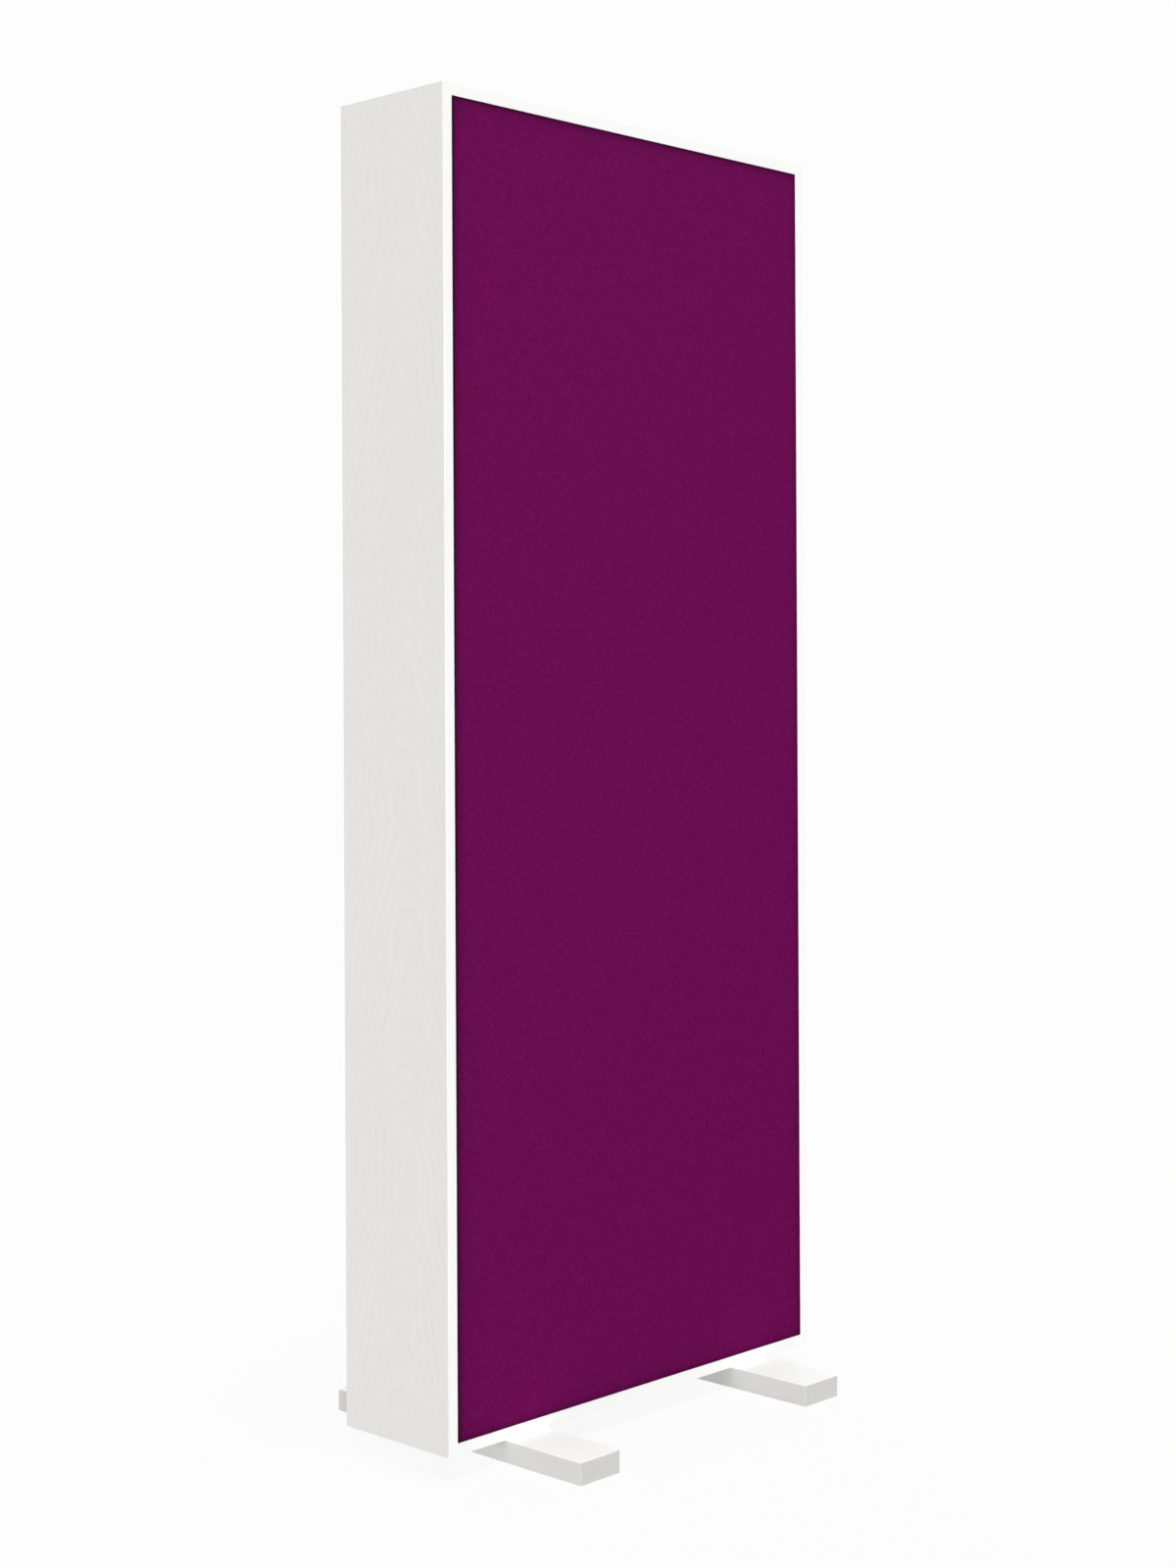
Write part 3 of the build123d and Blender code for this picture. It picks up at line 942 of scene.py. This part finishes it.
def chipboard_recipe(place):
    """Pressed flakes, each in its own shade, over fine dust."""
    flakes = cells(place, CHIP_SIZES, output="Color").parts()[0]
    edges = cells(place, CHIP_SIZES)
    dust = noise(place, (0.0008,) * 3)
    tone = flakes * 0.6 + edges * 0.25 + (dust - 0.5) * 0.4
    return {
        "Base Color": blended(tone, CHIP_LIGHT, CHIP_DARK),
        "Roughness": 0.72 + dust * 0.15,
        "Normal": bump(flakes + dust * 0.5, CHIP_RELIEF),
    }


dress(["barrier_board"], new_finish("chipboard", chipboard_recipe))

# %% Mineral wool and wadding
WOOL_LIGHT = (0.50, 0.44, 0.22)
WOOL_DARK = (0.20, 0.17, 0.07)
WOOL_THREAD = 0.0012
WOOL_RELIEF = 0.0006
FLUFF_LIGHT = (0.88, 0.88, 0.86)
FLUFF_DARK = (0.58, 0.58, 0.57)
FLUFF_THREAD = 0.0008
FLUFF_RELIEF = 0.0004


def fibre_recipe(light, dark, thread, relief):
    """Mat of fibres: two stretched noises crossed in the plane of the slab, with darker hollows."""

    def recipe(place):
        level = noise(place, (0.035, thread, thread), detail=4.0)
        upright = noise(place, (thread, thread, 0.035), shift=(7, 1, 4), detail=4.0)
        hollows = eased(noise(place, (0.02, 0.006, 0.02), shift=(1, 9, 2)), 0.35, 0.6)
        threads = level.math("MAXIMUM", level, upright)
        tone = (1 - threads) * 0.9 + (1 - hollows) * 0.35
        return {
            "Base Color": blended(tone, light, dark),
            "Normal": bump(threads + hollows * 0.5, relief),
        }

    return recipe


rows = ("lower", "middle", "upper")
slabs = [f"{face}_{row}_slab" for face in faces for row in rows]
waddings = [f"{face}_{row}_wadding" for face in faces for row in rows]
wool_recipe = fibre_recipe(WOOL_LIGHT, WOOL_DARK, WOOL_THREAD, WOOL_RELIEF)
fluff_recipe = fibre_recipe(FLUFF_LIGHT, FLUFF_DARK, FLUFF_THREAD, FLUFF_RELIEF)
dress(slabs, new_finish("mineral_wool", wool_recipe, Roughness=0.95))
dress(waddings, new_finish("wadding", fluff_recipe, Roughness=0.95, Sheen_Weight=0.3))

# %% [markdown]
# ## Pads and fasteners
#
# Hook-and-loop pads are black nylon pile. The bolts, the inserts and the staples are
# zinc-plated steel, a bright metal with a cloudy, slightly rough skin.

# %% Hook-and-loop pads
PILE_DARK = (0.012, 0.012, 0.013)
PILE_LIGHT = (0.055, 0.055, 0.058)
HOOK_PITCH = 0.0008
HOOK_RELIEF = 0.0003


def pile_recipe(place):
    """Tiny hooks close together: round tops on a dark ground."""
    tops = 1 - cells(place, (HOOK_PITCH,) * 3)
    ground = noise(place, (0.003,) * 3)
    return {
        "Base Color": blended(tops * 0.7 + ground * 0.3, PILE_DARK, PILE_LIGHT),
        "Roughness": 0.55 + ground * 0.3,
        "Normal": bump(tops, HOOK_RELIEF),
    }


pads = [f"{face}_{kind}_pads" for face in faces for kind in ("hook", "loop")]
dress(pads, new_finish("nylon_pile", pile_recipe))

# %% Zinc-plated steel
ZINC_LIGHT = (0.70, 0.70, 0.69)
ZINC_DARK = (0.52, 0.53, 0.55)
SCRATCH_RELIEF = 0.00001


def zinc_recipe(place):
    """Plated steel: cloudy tone, fine drawn scratches and a little unevenness."""
    clouds = noise(place, (0.006,) * 3, detail=3.0)
    scratches = noise(place, (0.0002, 0.0002, 0.004))
    return {
        "Base Color": blended(clouds, ZINC_LIGHT, ZINC_DARK),
        "Roughness": 0.28 + clouds * 0.2 + scratches * 0.1,
        "Normal": bump(scratches, SCRATCH_RELIEF),
    }


steel = ["foot_bolts", "threaded_inserts"] + [f"{face}_staples" for face in faces]
dress(steel, new_finish("zinc_plate", zinc_recipe, Metallic=1.0))

# %% [markdown]
#
# The nodes that are shown are listed if their material has no shader nodes.

# %% List the nodes without a finish
shown = {name: node for name, node in nodes.items() if not node.hide_render}
bare = [name for name, node in shown.items() if not node.material_slots[0].material.use_nodes]
print("nodes without a finish:", bare)
